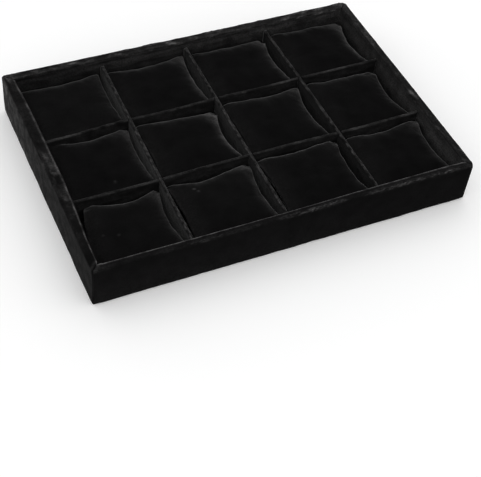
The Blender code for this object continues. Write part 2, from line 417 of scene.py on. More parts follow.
HEM = 14.0 * MM            # width of the velvet turned in under the base
FOOT, TOP = COVER_LOW.z, COVER_HIGH.z
WALL = COVER_HIGH.x - (LINING_HIGH.x + SEAT)     # thickness of a wall with its velvet
INNER_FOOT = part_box("front_board")[0].z          # height at which the inner face ends
LEAST_RADIUS = 0.6 * MM                          # of an upright corner
CORNER_STEPS = 6                                 # faces round an upright corner
CORNER_START = 0.985       # place along a wall beyond which it strays half as much
SPREAD_HEIGHT = 16 * MM    # height above which the foot's spread has gone

UNDER, OUTSIDE, RIM, INSIDE = range(4)           # the zones of the cover's section
RIGHT, REAR, LEFT, FRONT = range(4)              # the sides of the tray
MEASURED_ROW = 8           # row of the section along which lengths round the tray are measured
OUTER_TURN, INNER_TURN = 3, 15                   # rows of the rim where it turns down at its edges

Columns = namedtuple("Columns", "start end share angle side along")


def section_line(sizes):
    """The cover's outer line as rows of (inset, height, outward, upward, zone).

    It runs from the hem under the base up the outside, over the rim and down the inside.
    Outward and upward give the direction in which the velvet faces.
    """
    rim, foot = sizes.rim_radius, sizes.foot_radius
    rows = []

    def straight(start, end, count, facing, zone):
        for share in np.linspace(0.0, 1.0, count, endpoint=False):
            place = np.array(start) * (1 - share) + np.array(end) * share
            rows.append((*place, *facing, zone))

    def arc(inset, height, radius, start, end, count, zone):
        for share in np.linspace(0.0, 1.0, count, endpoint=False):
            angle = radians(start + (end - start) * share)
            rows.append((inset + radius * cos(angle), height + radius * sin(angle),
                         -cos(angle), sin(angle), zone))

    straight((HEM, FOOT), (foot, FOOT), 6, (0.0, -1.0), UNDER)
    arc(foot, FOOT + foot, foot, 270.0, 180.0, 4, OUTSIDE)
    straight((0.0, FOOT + foot), (0.0, TOP - rim), 24, (1.0, 0.0), OUTSIDE)
    arc(rim, TOP - rim, rim, 180.0, 90.0, 8, RIM)
    straight((rim, TOP), (WALL - rim, TOP), 4, (0.0, 1.0), RIM)
    arc(WALL - rim, TOP - rim, rim, 90.0, 0.0, 8, RIM)
    straight((WALL, TOP - rim), (WALL, INNER_FOOT), 20, (-1.0, 0.0), INSIDE)
    rows.append((WALL, INNER_FOOT, -1.0, 0.0, INSIDE))
    return np.array(rows)


def lining_line(sizes):
    """The cover's back as rows of (inset, height), from the inside over the rim to the hem."""
    velvet, rim = sizes.velvet, sizes.rim_radius
    radius, low, top, wall = rim - velvet, FOOT + velvet, TOP - velvet, WALL - velvet
    turns = [(radius * (1 - cos(a)), top - radius * (1 - sin(a))) for a in (pi / 2, pi / 4)]
    points = [(wall, INNER_FOOT), (wall, (INNER_FOOT + top) / 2), (wall, top - radius)]
    points += [(wall - inset, height) for inset, height in reversed(turns)]
    points += [(velvet + inset, height) for inset, height in turns]
    points += [(velvet, top - radius), (velvet, (low + top) / 2), (velvet, low + radius),
               (rim, low), (HEM, low)]
    return np.array(points)


def plan_columns(sizes):
    """Places round the tray: even steps along a side and even turns round a corner.

    Start and end are the two corners between which a place lies, at its share of the way.
    Along runs from -1 to 1 on a side.
    """
    columns = []
    for side in (RIGHT, REAR, LEFT, FRONT):
        half = COVER_HIGH.x if side in (REAR, FRONT) else COVER_HIGH.y
        count = int(round(2 * half / sizes.column_width))
        for step in range(count):
            share = step / count
            columns.append(((side - 1) % 4, side, share, side * pi / 2, side, 2 * share - 1))
        for step in range(CORNER_STEPS):
            columns.append((side, side, 0.0, (side + step / CORNER_STEPS) * pi / 2, side, 1.0))
    start, end, share, angle, side, along = np.array(columns).T
    return Columns(start.astype(int), end.astype(int), share, angle, side.astype(int), along)


def plan_places(columns, inset, radius):
    """Plan position of every column (second axis) for every inset (first axis)."""
    share, angle = columns.share, columns.angle
    corner_x, corner_y = np.array((1, -1, -1, 1)), np.array((1, 1, -1, -1))
    x = corner_x[columns.start] * (1 - share) + corner_x[columns.end] * share
    y = corner_y[columns.start] * (1 - share) + corner_y[columns.end] * share
    return ((COVER_HIGH.x - inset - radius) * x + radius * np.cos(angle),
            (COVER_HIGH.y - inset - radius) * y + radius * np.sin(angle))


# Each table below has a row for the right, the rear, the left and the front wall. A row is one
# amount, or amounts at places along the wall, from -1 to 1. The right wall runs to the rear,
# the rear wall to the left, the left wall to the front and the front wall to the right.

# How the walls stray from straight, in mm
ROLL_INWARD = (            # the rim's inner edge, puffed over the places
    ((-1.0, 0.4), (0.0, 0.8), (1.0, 0.4)),
    ((-1.0, 1.6), (0.0, 1.3), (1.0, 1.6)),
    ((-1.0, 2.4), (-0.6, 4.2), (0.2, 4.4), (0.5, 3.2), (0.75, 1.2), (1.0, 0.8)),
    ((-1.0, -0.4), (0.0, -1.1), (0.4, -0.3), (1.0, 0.2)),
)
ROLL_DEPTH = (9.0, 4.2, 9.0, 9.0)    # how far below the top the roll ends
LEAN_OUTWARD = (           # the whole wall's top
    ((-1.0, 0.8), (0.0, 0.9), (1.0, 0.4)),
    ((-1.0, 0.8), (-0.8, 1.0), (0.0, 0.2), (1.0, 0.8)),
    ((-1.0, -0.4), (0.0, -0.3), (1.0, 0.1)),
    ((-1.0, 0.2), (-0.2, 0.1), (0.3, -0.5), (0.9, -0.5), (1.0, 0.5)),
)
FOOT_OUTWARD = (           # the foot of the wall
    ((-1.0, 0.4), (1.0, 0.2)),
    0.2,
    ((-1.0, 0.3), (1.0, 0.4)),
    ((-1.0, 0.5), (1.0, 0.6)),
)

# Share of the velvet's waves that shows under the base, outside, on the rim and inside
WAVE_SHARE = (0.0, 1.0, 0.35, 0.8)

# How far painted light lifts the pile's colour, from 0 to 1, standing in for the sheen and the shade on
# the walls
OUTER_PAINTED_LIGHT = (
    0.03,
    0.03,
    ((-1.0, 0.30), (-0.6, 0.22), (-0.2, 0.13), (0.2, 0.085), (0.7, 0.06), (1.0, 0.045)),
    ((-1.0, 0.012), (0.2, 0.010), (0.5, 0.006), (1.0, 0.007)),
)
OUTER_TOP_SHARE = (        # of the outer tone, below the rim
    1.0,
    1.0,
    ((-1.0, 1.4), (-0.8, 0.9), (-0.5, 0.75), (0.3, 0.75), (0.9, 0.6), (1.0, 0.6)),
    0.8,
)
OUTER_FOOT_SHARE = (       # of the outer tone, at the foot
    1.0,
    1.0,
    ((-1.0, 0.75), (-0.7, 0.9), (-0.4, 1.2), (0.2, 1.1), (1.0, 1.4)),
    ((-1.0, 4.8), (1.0, 4.0)),
)
# Painted light on the rim
RIM_PAINTED_LIGHT = (
    ((-1.0, 0.055), (0.0, 0.075), (0.4, 0.10), (0.8, 0.14), (1.0, 0.18)),
    ((-1.0, 0.13), (-0.6, 0.09), (0.0, 0.07), (1.0, 0.06)),
    ((-1.0, 0.14), (-0.9, 0.06), (-0.3, 0.04), (0.1, 0.07), (0.5, 0.02), (1.0, 0.02)),
    ((-1.0, 0.035), (0.6, 0.030), (1.0, 0.045)),
)
UNEVENNESS = (0.6, 0.6, 1.2, 0.32)    # of the outer faces' tone
# Painted light on the inner faces, lifting the shade in the places
INNER_PAINTED_LIGHT = (
    ((-1.0, 0.21), (-0.3, 0.17), (0.1, 0.13), (1.0, 0.15)),
    ((-1.0, 0.38), (-0.8, 0.30), (0.0, 0.24), (0.4, 0.24), (0.7, 0.16), (1.0, 0.18)),
    0.08,
    0.08,
)
# Painted light and shade low on the inner faces
INNER_FOOT_SHARE = (1.8, 0.62, 1.8, 1.8)    # of the inner tone, at the foot
STREAK_CONTRAST = (0.45, 0.9, 1.1, 1.1)    # of the streaks on the inner faces and the rim
# Painted highlight along the rim's inner edge, where it turns down into the places
INNER_EDGE_HIGHLIGHT = (        # the light line where the rim turns down into the places
    0.05,
    0.10,
    ((-1.0, 0.45), (0.0, 0.65), (1.0, 0.75)),
    ((-1.0, 1.3), (-0.7, 1.5), (-0.45, 2.4), (-0.2, 1.8), (0.1, 1.5), (0.5, 1.1), (1.0, 1.3)),
)
EDGE_HIGHLIGHT_WIDTH = (0.7, 0.9, 0.35, 0.75)    # of the light line, in mm
CREASED = (                # how creased the rim is
    ((-1.0, 0.1), (-0.6, 0.5), (-0.4, 0.2), (-0.2, 0.6), (0.0, 0.2), (0.5, 0.5), (0.7, 0.2),
     (1.0, 0.6)),
    ((-1.0, 1.4), (-0.6, 1.0), (-0.3, 0.6), (-0.2, 0.9), (0.0, 0.4), (0.1, 1.0), (0.25, 0.8),
     (0.4, 0.7), (0.6, 0.3), (0.9, 0.3), (1.0, 0.6)),
    ((-1.0, 0.3), (-0.9, 0.0), (-0.3, 0.05), (-0.1, 0.3), (0.1, 0.6), (0.2, 0.2), (1.0, 0.0)),
    ((-1.0, 0.5), (-0.9, 0.0), (-0.7, 0.0), (-0.66, 0.3), (-0.55, 0.1), (-0.5, 0.4),
     (-0.25, 0.3), (-0.1, 0.0), (0.0, 1.0), (0.04, 0.5), (0.1, 1.1), (0.24, 0.9), (0.29, 0.0),
     (0.37, 0.0), (0.43, 0.9), (0.5, 1.3), (0.69, 1.3), (0.73, 0.1), (0.78, 0.9), (0.93, 0.7),
     (1.0, 0.2)),
)
# Light streaks on the rim, rubbed pile with a painted highlight on its creases: side, place along it,
# share of the way across the rim from its outer to its inner edge, half length and half width in mm, and
# how light
WORN_AND_HIGHLIT = (
    (REAR, 0.85, 0.55, 4.0, 0.8, 0.20),
    (REAR, 0.64, 0.60, 5.5, 0.9, 0.95),
    (REAR, 0.39, 0.70, 3.5, 0.8, 0.55),
    (REAR, 0.20, 0.75, 5.0, 0.7, 0.50),
    (REAR, 0.08, 0.75, 4.0, 0.7, 0.45),
    (REAR, -0.28, 0.80, 4.0, 0.7, 0.30),
    (REAR, -0.75, 0.60, 3.0, 1.0, 0.60),
    (REAR, -0.84, 0.50, 4.5, 1.1, 0.75),
    (RIGHT, 0.62, 0.35, 6.0, 1.1, 0.45),
    (RIGHT, -0.17, 0.75, 3.5, 1.1, 0.60),
    (LEFT, -0.06, 0.60, 7.0, 0.8, 0.35),
    (LEFT, 0.36, 0.65, 2.5, 0.8, 0.35),
    (LEFT, -0.97, 0.50, 3.0, 1.0, 0.30),
)


def along_side(table, columns):
    """Read a table of amounts at every column, smoothed between its points."""
    amounts = np.zeros(len(columns.side))
    for side, points in enumerate(table):
        chosen = columns.side == side
        if isinstance(points, float):
            amounts[chosen] = points
        else:
            amounts[chosen] = soft_curve(points, columns.along[chosen], 4)
    return amounts


def strayed(table, columns):
    """Read a table of distances in mm at every column, halved at the corners, in metres."""
    return along_side(table, columns) * np.where(np.abs(columns.along) > CORNER_START, 0.5, 1.0) * MM


class Cover:
    """The velvet over the walls: rows run up over the rim and columns round the tray."""

    def __init__(self, sizes):
        self.sizes = sizes
        self.columns = plan_columns(sizes)
        rows = section_line(sizes).T[..., None]
        self.inset, self.height, self.outward, self.upward, self.zone = rows
        radius = np.maximum(sizes.corner_radius - self.inset, LEAST_RADIUS)
        self.x, self.y = plan_places(self.columns, self.inset, radius)
        steps = np.hypot(*(np.diff(line, axis=0) for line in (self.inset, self.height)))
        self.run = np.concatenate(([[0.0]], np.cumsum(steps, axis=0)))
        ring = self.x[MEASURED_ROW], self.y[MEASURED_ROW]
        self.around = np.cumsum(np.hypot(*(np.diff(line, append=line[:1]) for line in ring)))
        self.rim = self.run[self.zone == RIM]
        self.from_rim = np.abs(self.run - self.rim.mean())
        self.roll_end = TOP - along_side(ROLL_DEPTH, self.columns) * MM
        self.loose = self.pattern(11, 3.5, 3.0, 3)
        self.crinkle = self.creases()
        self.fold = self.corner_folds()

    def pattern(self, length, width, shift, seed):
        """Soft noise: length of its grain round the tray and width up the walls, in mm."""
        return noise_at(stacked(self.around / (length * MM), self.run / (width * MM),
                                self.columns.side * shift), seed)

    def creases(self):
        """The small creases along the rim, most of them where the table says."""
        around, run, side = self.around, self.run, self.columns.side
        front = side == FRONT
        band = np.where(front, bell(run - self.rim[OUTER_TURN], 1.5 * MM),
                        1.0 - smooth_step(3.0 * MM, 7.0 * MM, self.from_rim))
        patch = np.maximum(smooth_step(-0.15, 0.45, self.loose), 0.4 * front)
        leaning = stacked(around / (7 * MM) + run / (6 * MM), run / (1.5 * MM), side * 5.0)
        crossing = stacked(around / (4 * MM), run / (1.3 * MM) - around / (9 * MM), side)
        crease = ridges_at(leaning, 4) + 0.6 * ridges_at(crossing, 5)
        return band * along_side(CREASED, self.columns) * patch * crease

    def corner_folds(self):
        """A tucked fold across each corner of the rim, puffed up on both sides of it."""
        from_diagonal = np.abs((COVER_HIGH.x - np.abs(self.x)) - (COVER_HIGH.y - np.abs(self.y)))
        from_diagonal /= 2 ** 0.5
        tuck = bell(from_diagonal, 0.55 * MM)
        puff = bell(from_diagonal - 1.9 * MM, 1.1 * MM)
        return (self.zone == RIM) * (0.5 * puff - tuck)

    def face(self):
        """Corners of the face, with its waves, creases and folds, its lean and its rolled rim."""
        sizes, columns, height = self.sizes, self.columns, self.height
        waves = self.pattern(20, 26, 7.0, 1) + 0.5 * self.pattern(8, 12, 7.0, 2)
        lift = sizes.wave_height * np.array(WAVE_SHARE)[self.zone.astype(int)] * (1.0 + waves)
        lift += sizes.crinkle_height * self.crinkle + sizes.mitre_depth * self.fold

        lean = strayed(LEAN_OUTWARD, columns) * smooth_step(0.0, TOP, height)
        hang = smooth_step(self.roll_end, (self.roll_end + 5 * TOP) / 6, height)
        roll = strayed(ROLL_INWARD, columns) * smooth_step(0.5 * WALL, WALL, self.inset) * hang
        low_down = (1.0 - smooth_step(0.0, SPREAD_HEIGHT, height)) * (self.zone > UNDER)
        spread = strayed(FOOT_OUTWARD, columns) * low_down

        out = lift * self.outward + lean - roll + spread
        return stacked(self.x + out * np.cos(columns.angle), self.y + out * np.sin(columns.angle),
                       np.maximum(height + lift * self.upward, FOOT))

    def back(self):
        """Corners of the plain back, against the boards."""
        inset, height = lining_line(self.sizes).T[..., None]
        radius = np.maximum(self.sizes.corner_radius - inset, LEAST_RADIUS)
        return stacked(*plan_places(self.columns, inset, radius), height)

    def crush_and_painted_light(self):
        """How much the face's pile is lifted, from 0 to 1: painted light and shade, painted highlights
        and rubbed streaks.
        """
        columns, height, zone = self.columns, self.height, self.zone
        streaks = along_side(STREAK_CONTRAST, columns) * self.pattern(21, 3.2, 3.0, 6)
        mottle = self.pattern(8, 9, 3.0, 7)
        fine = self.pattern(3.6, 4.5, 3.0, 8)

        # Painted light and shade on the outer faces, the rim and the inner faces.
        uneven = along_side(UNEVENNESS, columns) * (1.3 * mottle + fine)
        outer = along_side(OUTER_PAINTED_LIGHT, columns) * np.clip(1.0 + uneven, 0.35, 2.0)
        top_share = along_side(OUTER_TOP_SHARE, columns)
        foot_share = along_side(OUTER_FOOT_SHARE, columns)
        outer *= top_share + (foot_share - top_share) * np.clip(1.0 - height / TOP, 0.0, 1.0) ** 1.5

        rim = along_side(RIM_PAINTED_LIGHT, columns) * np.clip(1.0 + 0.8 * mottle + 0.7 * streaks, 0.3, 2.0)

        inner = along_side(INNER_PAINTED_LIGHT, columns) * np.clip(1.0 + streaks + 0.5 * mottle, 0.45, 2.4)
        # Painted light lifts the shade low on the inner faces; on the rear wall a share below 1 paints
        # shade there instead.
        low_share = along_side(INNER_FOOT_SHARE, columns) - 1.0
        inner *= 1.0 + low_share * smooth_step(TOP, 0.6 * TOP, height)
        # A painted shadow under the roll of the rear rim.
        roll_shadow = bell(height - self.roll_end, 0.7 * MM) * (columns.side == REAR)
        inner *= 1.0 - 0.9 * roll_shadow * smooth_step(-0.3, 0.1, self.loose)

        tone = np.where(zone == INSIDE, inner, outer)
        tone += (rim - tone) * (1.0 - smooth_step(1.6 * MM, 5.0 * MM, self.from_rim))
        # A painted highlight along the rim's inner edge.
        turning = bell(self.run - self.rim[INNER_TURN], along_side(EDGE_HIGHLIGHT_WIDTH, columns) * MM)
        line = along_side(INNER_EDGE_HIGHLIGHT, columns) * turning * np.clip(0.7 + 1.2 * mottle, 0.2, 1.3)
        crush_and_painted_light = tone * (zone > UNDER) + line + self.wear_and_highlight()
        # Creases and the puffs beside the corner folds are lifted too: pressed pile with a painted
        # highlight.
        return np.clip(crush_and_painted_light + 0.65 * self.crinkle + 0.22 * np.maximum(self.fold, 0.0), 0.0, 1.0)

    def wear_and_highlight(self):
        """How light the streaks on the rim are: rubbed pile with a painted highlight."""
        worn_and_highlit = 0.0
        for side, along, across, length, width, light in WORN_AND_HIGHLIT:
            half = COVER_HIGH.x if side in (REAR, FRONT) else COVER_HIGH.y
            lengthways = (self.columns.along - along) * half
            sideways = self.run - (self.rim[0] + across * (self.rim[-1] - self.rim[0]))
            streak = bell(lengthways, length * MM, 4) * bell(sideways, width * MM)
            worn_and_highlit = worn_and_highlit + light * streak * (self.columns.side == side)
        return worn_and_highlit * np.clip(0.8 + 1.5 * self.loose, 0.2, 1.4)

    def mesh(self):
        """The cover as one closed skin, its face and its back."""
        face, back = self.face(), self.back()
        skin = np.concatenate((face, back))
        mesh = mesh_of("velvet_cover", skin, tube_faces(*skin.shape[:2], closed=True))
        write_mask(mesh, "crush_and_painted_light", np.concatenate((self.crush_and_painted_light(), np.zeros(back.shape[:2]))))
        return mesh


class TRAY_OT_cover(bpy.types.Operator):
    """Cover the walls with velvet, over the rim and under the base"""
    bl_idname = "tray.cover"
    bl_label = "Velvet cover"

    def execute(self, context):
        mesh = Cover(context.scene.tray_cover).mesh()
        velvet = velvet_material("cover velvet", sheen_gain=0.16)
        add_piece("cover", mesh, velvet, "velvet_cover")
        return {"FINISHED"}


# The dividers

# Sideways sway of each strip's middle line, in mm: (place along it from -1 to 1, sway)
SWAY = {
    "cross_divider_1": ((-1.0, -0.6), (-0.5, -0.6), (0.0, 0.9), (0.5, 1.8), (1.0, 2.7)),
    "cross_divider_2": ((-1.0, -0.7), (0.0, -0.2), (0.5, 0.7), (1.0, 1.2)),
    "cross_divider_3": ((-1.0, 2.0), (0.0, 1.3), (0.5, 0.7), (1.0, -0.1)),
    "long_divider_1": ((-1.0, -3.6), (-0.8, -2.2), (-0.5, 0.8), (-0.3, -0.8), (0.0, 1.6),
                       (0.25, 0.6), (0.5, 2.2), (0.75, 1.8), (1.0, 2.4)),
    "long_divider_2": ((-1.0, -0.4), (-0.6, -0.6), (-0.3, 0.8), (0.0, 1.6), (0.3, 1.6),
                       (0.6, 0.6), (1.0, 1.8)),
}

# For the long strips and the cross strips: painted light on their pile, lifting the shade of their faces
STRIP_PAINTED_LIGHT = ((0.060, 0.03), (0.03, 0.02))    # on the front or left face, and on the other one
# Painted light towards the pillows on the long strips, painted shade there on the cross strips
LOW_GAIN = (0.7, -0.5)    # share by which the faces get lighter towards the pillows
TOP_EDGE_HIGHLIGHT = (0.07, 0.19)    # painted highlight along the top edges
EDGE_DEPTH = (0.7, 0.9)    # how far the painted highlight reaches down from the top, in mm

FLARE_LENGTH = 3.5 * MM    # over which a strip's velvet spreads towards a wall

STRIP_TOP_HIGHLIGHT = {            # stretches of a top with a stronger painted highlight: place and half length in mm, gain
    "long_divider_1": ((-147.0, 13.0, 2.4), (70.0, 18.0, 1.8), (124.0, 12.0, 3.0)),
    "long_divider_2": ((-101.0, 15.0, 1.8), (46.0, 5.0, 2.0), (105.0, 9.0, 2.2), (158.0, 8.0, 2.4)),
}
STRIP_SHARE = {            # of the faces' tone: (place along the strip from -1 to 1, share)
    "cross_divider_2": ((-1.0, 1.0), (-0.4, 0.9), (-0.3, 1.2), (0.3, 1.2), (0.4, 0.1), (1.0, 0.1)),
    "cross_divider_3": ((-1.0, 0.8), (0.3, 0.5), (0.4, 0.2), (1.0, 0.2)),
}


class Strip:
    """One divider: where its middle line runs, and the mesh round it."""

    def __init__(self, name):
        self.name = name
        self.low, self.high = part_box(name)
        self.along = 0 if name in LONG_DIVIDERS else 1
        self.across = 1 - self.along
        self.half = (self.high[self.along] - self.low[self.along]) / 2
        self.middle = (self.high[self.across] + self.low[self.across]) / 2

    def line(self, at):
        """The middle line's sideways place at places along it, in metres."""
        return self.middle + soft_curve(SWAY[self.name], np.asarray(at) / self.half, 15) * MM

    def section(self, sizes):
        """The section's outline as (sideways, height), once round from below."""
        half, low, top = sizes.thickness / 2, self.low.z, self.high.z
        radius = half - 0.1 * MM
        up = [(half, z) for z in np.linspace(low, top - radius, 15)]
        up += [(half - radius + radius * cos(a), top - radius + radius * sin(a))
               for a in np.linspace(0.0, pi / 2, 6)[1:]]
        return np.array(up + [(-sideways, z) for sideways, z in reversed(up)])

    def mesh(self, sizes):
        """The velvet strip, with its sway, its wrinkles, its flared ends and a painted highlight along
        its top.
        """
        sideways, height = self.section(sizes).T
        side = np.sign(sideways)
        at = np.linspace(-self.half, self.half, int(round(2 * self.half / sizes.step)) + 1)[:, None]
        seed = 20 + sum(ord(letter) for letter in self.name)
        streaks = noise_at(stacked(at / (14 * MM), height / (2.6 * MM), side * 3.0), seed)
        bumps = noise_at(stacked(at / (5 * MM), height / (5 * MM), side * 3.0), seed + 1)
        flecks = noise_at(stacked(at / (2.3 * MM), height / (2 * MM), side), seed + 2)

        flare = sizes.flare / (sizes.thickness / 2) * bell(self.half - np.abs(at), FLARE_LENGTH, 1)
        spread = 1.0 + flare * smooth_step(self.low.z, self.high.z, height)
        wrinkle = sizes.wrinkle_height * (streaks + 0.6 * bumps)
        on_top = height > self.high.z - 1 * MM
        verts = np.empty((len(at), len(height), 3))
        verts[..., self.along] = at
        verts[..., self.across] = self.line(at) + sideways * spread + side * wrinkle
        verts[..., 2] = height + 0.5 * bumps * sizes.wrinkle_height * on_top
        rows, columns = verts.shape[:2]
        faces = tube_faces(rows, columns, closed=False)
        faces.append(list(range(columns - 1, -1, -1)))
        faces.append(list(range((rows - 1) * columns, rows * columns)))
        mesh = mesh_of(self.name, verts, faces)
        if self.name in LONG_DIVIDERS:
            mesh.flip_normals()

        # Painted light and shade on the faces, changing towards the pillows.
        tone = np.where(side < 0, *STRIP_PAINTED_LIGHT[self.along])
        if self.name in STRIP_SHARE:
            tone = tone * np.interp(at / self.half, *np.array(STRIP_SHARE[self.name]).T)
        tone = tone * np.clip(1.0 + 1.1 * streaks + 0.6 * bumps, 0.1, 2.4)
        low_down = smooth_step(self.high.z - 3 * MM, self.high.z - 11 * MM, height)
        tone = tone * (1.0 + LOW_GAIN[self.along] * low_down)
        # Painted highlight along the top edges, stronger in the listed stretches.
        worn_and_highlit = np.clip(0.9 + 1.8 * bumps + 1.6 * flecks, 0.1, 2.2)
        for place, length, gain in STRIP_TOP_HIGHLIGHT.get(self.name, ()):
            worn_and_highlit = worn_and_highlit + gain * bell(at / MM - place, length, 4)
        edge = bell(height - self.high.z, EDGE_DEPTH[self.along] * MM, 4)
        write_mask(mesh, "crush_and_painted_light", tone + TOP_EDGE_HIGHLIGHT[self.along] * edge * worn_and_highlit)
        return mesh


def crossing(cross, long):
    """Where two strips' middle lines meet."""
    x, y = cross.middle, long.middle
    for _ in range(8):
        x = float(cross.line(y))
        y = float(long.line(x))
    return x, y


def box_mesh(low, high):
    """A closed box between two corners."""
    corners = list(product(*zip(low, high)))
    faces = [(0, 1, 3, 2), (4, 6, 7, 5), (0, 4, 5, 1), (2, 3, 7, 6), (0, 2, 6, 4), (1, 5, 7, 3)]
    return mesh_of("slot", corners, faces)


def cut_slots(mesh, places, size, low, high):
    """Cut upright slots of the given plan size through a strip."""
    link = bpy.context.scene.collection.objects.link
    blank = bpy.data.objects.new("strip to cut", mesh)
    link(blank)
    cutters = []
    for x, y in places:
        half_x, half_y = size[0] / 2, size[1] / 2
        slot = box_mesh((x - half_x, y - half_y, low), (x + half_x, y + half_y, high))
        cutter = bpy.data.objects.new("slot", slot)
        link(cutter)
        cut = blank.modifiers.new("Slot", "BOOLEAN")
        cut.operation = "DIFFERENCE"
        cut.object = cutter
        cutters.append(cutter)
    bpy.context.view_layer.update()
    depsgraph = bpy.context.evaluated_depsgraph_get()
    result = bpy.data.meshes.new_from_object(blank.evaluated_get(depsgraph))
    for item in (blank, *cutters):
        bpy.data.objects.remove(item, do_unlink=True)
    result.materials.clear()                   # the cut leaves an empty slot
    return result


class TRAY_OT_dividers(bpy.types.Operator):
    """Make the five velvet strips and slot them into each other"""
    bl_idname = "tray.dividers"
    bl_label = "Dividers"

    def execute(self, context):
        sizes = context.scene.tray_dividers
        velvet = velvet_material("divider velvet", sheen_gain=0.6)
        strips = {name: Strip(name) for name in CROSS_DIVIDERS + LONG_DIVIDERS}
        crossings = {pair: crossing(*(strips[name] for name in pair))
                     for pair in product(CROSS_DIVIDERS, LONG_DIVIDERS)}
        lap = (REST_LEVEL + DIVIDER_TOP) / 2
        slot = sizes.thickness + 2 * SEAT + 2 * sizes.wrinkle_height
        through = 12 * MM
        above = 0.1
        for name, strip in strips.items():
            places = [place for pair, place in crossings.items() if name in pair]
            if name in CROSS_DIVIDERS:
                cut = ((through, slot), 0.0, lap + SEAT / 2)
            else:
                cut = ((slot, through), lap - SEAT / 2, above)
            mesh = cut_slots(strip.mesh(sizes), places, *cut)
            add_piece(name.replace("divider", "strip"), mesh, velvet, name)
        return {"FINISHED"}


# The pillows

# For each pillow: height of its seam between the corners, in mm; how far the rear side pulls
# in at REAR_PLACES, in mm; how far the right side pulls in, in mm; how far the rear right tip
# droops, in mm; and how strong the painted highlight is at that tip and side, from 0 to 1
PILLOWS = {
    "pillow_1_1": (27.0, (4.0, 5.5, 6.0, 4.0, 0.0), 3.0, 2.0, 0.12),
    "pillow_1_2": (27.0, (4.0, 7.3, 6.8, 4.5, 0.0), 5.5, 2.0, 0.45),
    "pillow_1_3": (27.0, (3.5, 5.8, 6.0, 5.0, 3.5), 6.8, 6.5, 0.36),
    "pillow_1_4": (27.0, (1.5, 3.0, 3.4, 4.4, 3.5), 9.5, 5.0, 0.75),
    "pillow_2_1": (27.0, (0.0, 5.0, 6.0, 3.4, 0.0), 4.4, 4.0, 0.24),
    "pillow_2_2": (27.0, (2.6, 4.5, 6.0, 7.2, 6.0), 8.6, 6.0, 0.60),
    "pillow_2_3": (27.0, (1.2, 2.6, 5.2, 3.2, 0.0), 6.8, 2.0, 0.20),
    "pillow_2_4": (27.0, (0.3, 3.6, 2.9, 4.2, 3.5), 9.8, 4.0, 0.16),
    "pillow_3_1": (27.0, (2.4, 8.6, 9.0, 5.6, 0.0), 7.4, 7.0, 0.24),
    "pillow_3_2": (27.0, (3.0, 8.0, 4.8, 1.8, 0.0), 6.6, 4.5, 0.34),
    "pillow_3_3": (29.0, (1.2, 3.4, 2.8, 1.4, 0.0), 6.8, 5.0, 0.10),
    "pillow_3_4": (27.5, (1.4, 4.2, 4.2, 1.2, 0.0), 8.0, 3.0, 0.26),
}
REAR_PLACES = (-0.76, -0.26, 0.20, 0.60, 1.0)    # -1 is the rear left corner, 1 the rear right
LINT = {                                   # specks of lint: x and y in mm, and how light
    "pillow_2_1": ((-121.9, -27.0, 0.16),),
    "pillow_3_1": ((-152.1, -79.7, 0.10), (-139.3, -84.4, 0.14)),
    "pillow_3_2": ((-62.4, -57.7, 0.40), (-60.0, -60.5, 0.20)),
}
TUCKED_CORNERS = {                         # rear left and right corner, in mm from the place's side
    "pillow_2_4": (0.0, 4.0),
    "pillow_3_1": (14.0, 0.0),
}
SIDE_PULL = 3.5 * MM                       # of the left and the front side
TIP_DROOP = 4.0 * MM                       # of the tips but the rear right one
REAR_LEFT_DROOP = {"pillow_2_1": 0.0}      # of rear left tips that don't droop as the others do
TIP_LENGTH = 0.22                          # part of the half side over which a tip droops
DOME_START = 5.0 * MM                      # height of the panels before they are blown up
UNDER_PRESS = 1.5 * MM                     # what the floor takes off the underside
CLOTH_SCALE = 10.0                         # the cloth is simulated at this many times its size
SEAM_HIGHLIGHT = 0.33                          # painted highlight along the sewn edge
SIDE_PAINTED_LIGHT = 0.035                         # painted light down the left side, lifting its shade
SEAM_REACH = 0.035                         # how far in from the sewn edge, as parts of the half side
RIGHT_REACH = 0.07                         # the same along the right side
TIP_REACH = 0.32                           # the same from the rear right tip
TOP_PAINTED_LIGHT = {                              # painted light all over these pillows, lifting their shade
    "pillow_1_1": 0.013,
    "pillow_3_1": 0.007,
    "pillow_3_2": 0.007,
}


